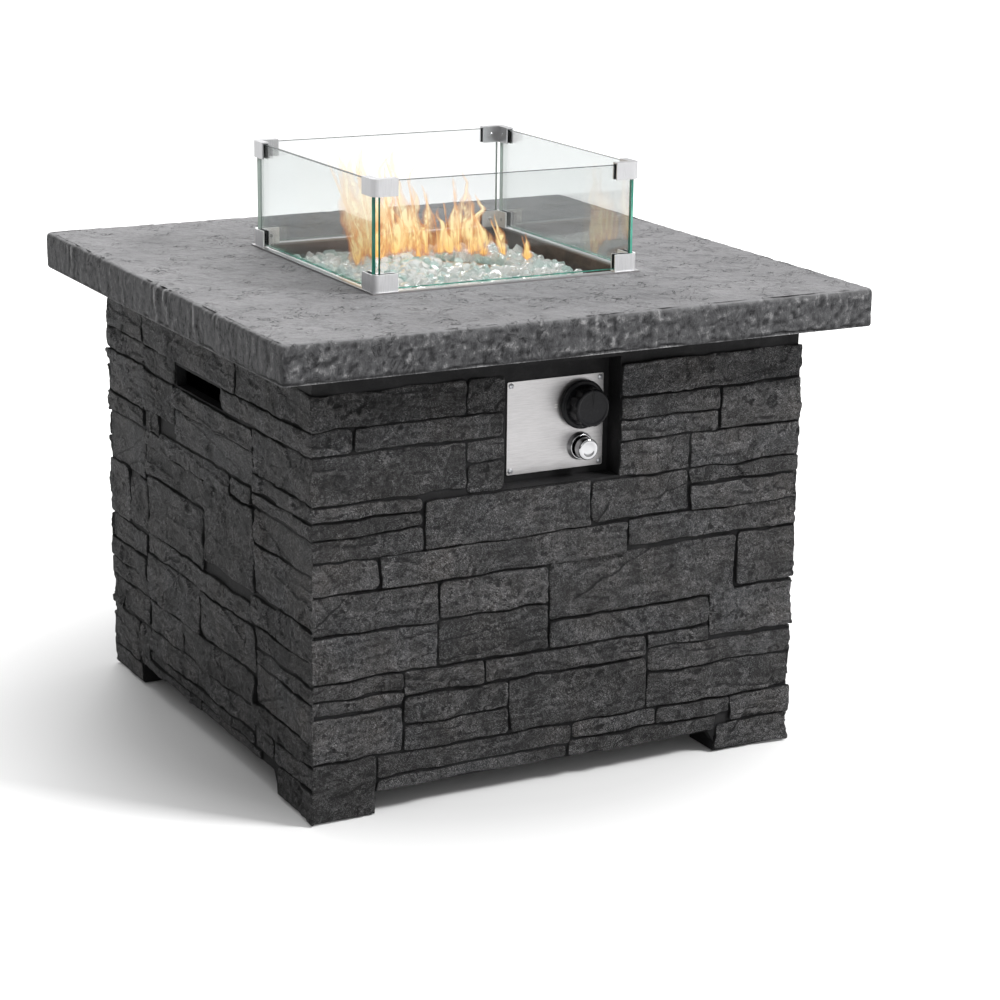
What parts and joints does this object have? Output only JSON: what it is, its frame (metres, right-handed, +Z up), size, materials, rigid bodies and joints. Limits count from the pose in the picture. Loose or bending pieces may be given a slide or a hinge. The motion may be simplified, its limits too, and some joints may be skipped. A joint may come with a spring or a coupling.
{
  "type": "fire pit table",
  "caption": "Square gas fire pit table with a cast ledge-stone base, slate-look top, bead-filled burner pan, glass wind guard, press-and-turn valve knob and push igniter.",
  "frame": {"origin": "on the floor below the middle of the table", "axes": "+Z up; -Y towards the side with the control panel; +X to the right as seen from that side"},
  "size_m": [0.813, 0.813, 0.757],
  "materials": {
    "cast_slate": "cast slate look, satin",
    "cast_stone": "cast ledge stone, matt",
    "brushed_steel": "brushed",
    "zinc_steel": "zinc plated",
    "galvanised_sheet": "galvanised",
    "black_metal": "powder coated, matt",
    "brass": "machined",
    "pipe_aluminium": "cast and drawn, satin",
    "knob_black": "moulded, satin",
    "chrome": "polished",
    "ceramic": "glazed ceramic",
    "clear_glass": "clear toughened glass",
    "bead_glass": "pale aqua glass beads",
    "black_rubber": "moulded rubber"
  },
  "bodies": {
    "table": {"air_mixer": "brass", "base_shell": "cast_stone", "bottle_tray": "galvanised_sheet", "burner_locknut": "zinc_steel", "burner_pan": "brushed_steel", "burner_ring": "brushed_steel", "control_panel": "brushed_steel", "door_hinge_frames": "black_metal", "door_magnet": "zinc_steel", "fire_glass": "bead_glass", "foot_pads": "black_rubber", "gas_inlet_fitting": "brass", "gas_pipe": "pipe_aluminium", "gas_valve": "pipe_aluminium", "heat_shield": "galvanised_sheet", "igniter_bezel": "chrome", "igniter_body": "knob_black", "igniter_nut": "knob_black", "jet_elbow": "brass", "panel_screws": "zinc_steel", "pipe_nuts": "brass", "sensor_bracket": "brushed_steel", "spark_electrode": "ceramic", "table_top": "cast_slate", "thermocouple": "zinc_steel", "top_bolts": "zinc_steel", "top_inserts": "brass", "valve_elbow": "brass", "valve_screws": "zinc_steel"},
    "plunger": {"valve_plunger": "zinc_steel"},
    "knob": {"control_knob": "knob_black", "valve_stem": "zinc_steel"},
    "button": {"igniter_button": "chrome"},
    "wind_guard": {"glass_pane_front": "clear_glass", "glass_pane_left": "clear_glass", "glass_pane_rear": "clear_glass", "glass_pane_right": "clear_glass", "guard_bracket_lower_front_left": "brushed_steel", "guard_bracket_lower_front_right": "brushed_steel", "guard_bracket_lower_rear_left": "brushed_steel", "guard_bracket_lower_rear_right": "brushed_steel", "guard_bracket_upper_front_left": "brushed_steel", "guard_bracket_upper_front_right": "brushed_steel", "guard_bracket_upper_rear_left": "brushed_steel", "guard_bracket_upper_rear_right": "brushed_steel", "guard_gaskets": "black_rubber"},
    "door": {"rear_door": "cast_stone", "door_hinge_leaves": "black_metal", "door_strike": "zinc_steel", "door_pull": "black_metal", "door_pull_screws": "zinc_steel"}
  },
  "joints": [
    {"name": "knob_press", "type": "slide", "parent": "table", "child": "plunger", "axis": [0, 1, 0], "range_m": [0, 0.003], "stiffness_N_per_m": 1500, "springref_m": -0.002},
    {"name": "knob_turn", "type": "hinge", "parent": "plunger", "child": "knob", "pos_m": [0.0365, -0.311, 0.483], "axis": [0, -1, 0], "range_deg": [0, 180]},
    {"name": "igniter_press", "type": "slide", "parent": "table", "child": "button", "axis": [0, 1, 0], "range_m": [0, 0.004], "stiffness_N_per_m": 1000, "springref_m": -0.002},
    {"name": "guard_lift", "type": "slide", "parent": "table", "child": "wind_guard", "axis": [0, 0, 1], "range_m": [0, 0.2]},
    {"name": "door_swing", "type": "hinge", "parent": "table", "child": "door", "pos_m": [0.1735, 0.3435, 0.287], "axis": [0, 0, -1], "range_deg": [0, 110]}
  ]
}
